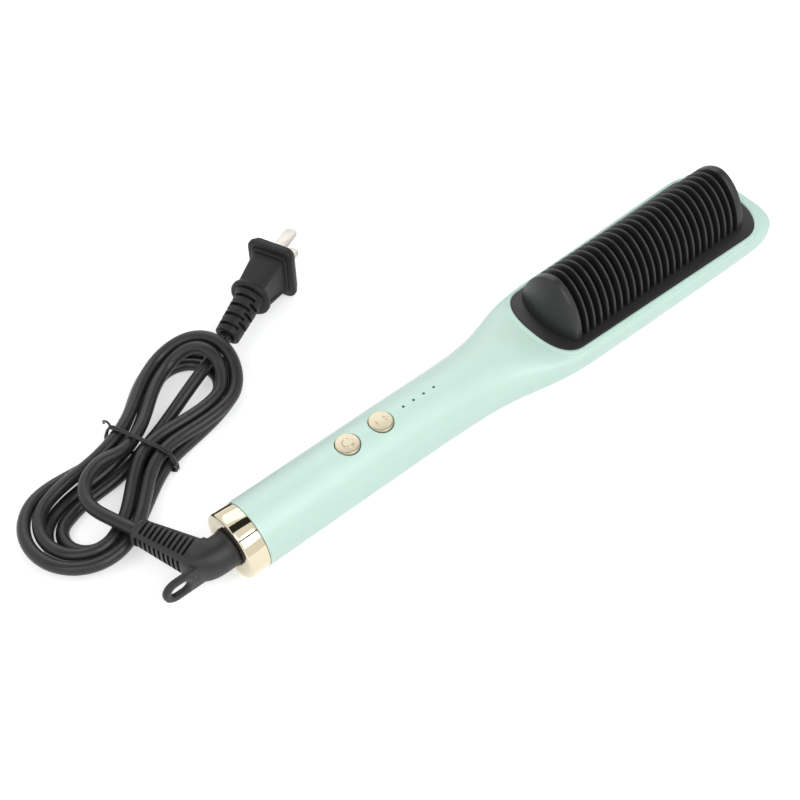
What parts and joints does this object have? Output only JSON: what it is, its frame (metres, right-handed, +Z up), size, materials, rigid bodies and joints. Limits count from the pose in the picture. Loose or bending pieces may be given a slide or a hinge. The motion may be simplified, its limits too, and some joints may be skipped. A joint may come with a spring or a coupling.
{
  "type": "hot comb",
  "caption": "Electric straightening comb with heated fins under a ribbed guard, two push buttons and a swivelling mains lead folded and tied beside it.",
  "frame": {"origin": "centre of the comb's own box (end ring, housings and comb, without the lead and its strain relief), on the surface that it lies on", "axes": "+X along the handle towards the head, +Z up out of the comb's front, +Y across, towards the side where the lead lies"},
  "size_m": [0.3662, 0.149, 0.0471],
  "materials": {
    "mint_plastic": "satin moulded ABS in pale mint green",
    "champagne_metal": "satin anodised, pale champagne gold",
    "black_plastic": "moulded black heat-resistant plastic, low gloss",
    "coated_aluminium": "die-cast aluminium with a glossy black ceramic coating",
    "bare_aluminium": "plain sheet",
    "heater_ceramic": "sintered ceramic",
    "amber_film": "polyimide film",
    "mica": "pressed mica sheet",
    "circuit_board": "green solder mask",
    "component_black": "moulded component body",
    "component_colour": "dipped component body",
    "light_pipe": "dark translucent plastic",
    "insulator": "moulded insulator",
    "contact_brass": "turned brass",
    "brush_carbon": "copper graphite",
    "wire_insulation": "silicone wire insulation",
    "screw_steel": "zinc-plated steel",
    "black_rubber": "soft black moulding, satin",
    "black_cord": "round black sheathed lead",
    "blade_metal": "nickel-plated brass"
  },
  "bodies": {
    "lead": {"strain_relief": "black_rubber", "hanging_loop": "black_rubber", "swivel_core": "black_plastic", "slip_rings": "contact_brass", "cord_lead": "black_cord", "cord_hank": "black_cord", "cord_tie": "black_plastic", "plug_body": "black_rubber", "plug_blades": "blade_metal"},
    "comb": {"front_housing": "mint_plastic", "rear_housing": "mint_plastic", "end_ring": "champagne_metal", "comb_guard": "black_plastic", "heating_comb": "coated_aluminium", "ptc_heaters": "heater_ceramic", "heater_film": "amber_film", "heater_clamp": "bare_aluminium", "heat_shield": "mica", "thermal_fuse": "insulator", "temperature_sensor": "heater_ceramic", "control_board": "circuit_board", "power_switch": "component_black", "mode_switch": "component_black", "status_leds": "insulator", "light_guide": "light_pipe", "controller_chip": "component_black", "film_capacitor": "component_colour", "triac": "component_black", "fusible_resistor": "insulator", "brush_holder": "insulator", "contact_brushes": "brush_carbon", "brush_wires": "wire_insulation", "heater_wires": "wire_insulation", "sensor_wires": "wire_insulation", "board_screws": "screw_steel", "clamp_screws": "screw_steel", "housing_screws": "screw_steel", "retaining_collar": "screw_steel"},
    "power_button": {"power_button": "champagne_metal", "power_plunger": "component_black"},
    "mode_button": {"mode_button": "champagne_metal", "mode_plunger": "component_black"}
  },
  "joints": [
    {"name": "cord_swivel", "type": "hinge", "parent": "lead", "child": "comb", "pos_m": [-0.152, 0, 0.0153], "axis": [1, 0, 0], "continuous": true},
    {"name": "power_button_press", "type": "slide", "parent": "comb", "child": "power_button", "axis": [0, 0, -1], "range_m": [0, 0.0004], "stiffness_N_per_m": 3000, "springref_m": -0.0002},
    {"name": "mode_button_press", "type": "slide", "parent": "comb", "child": "mode_button", "axis": [0, 0, -1], "range_m": [0, 0.0004], "stiffness_N_per_m": 3000, "springref_m": -0.0002}
  ]
}
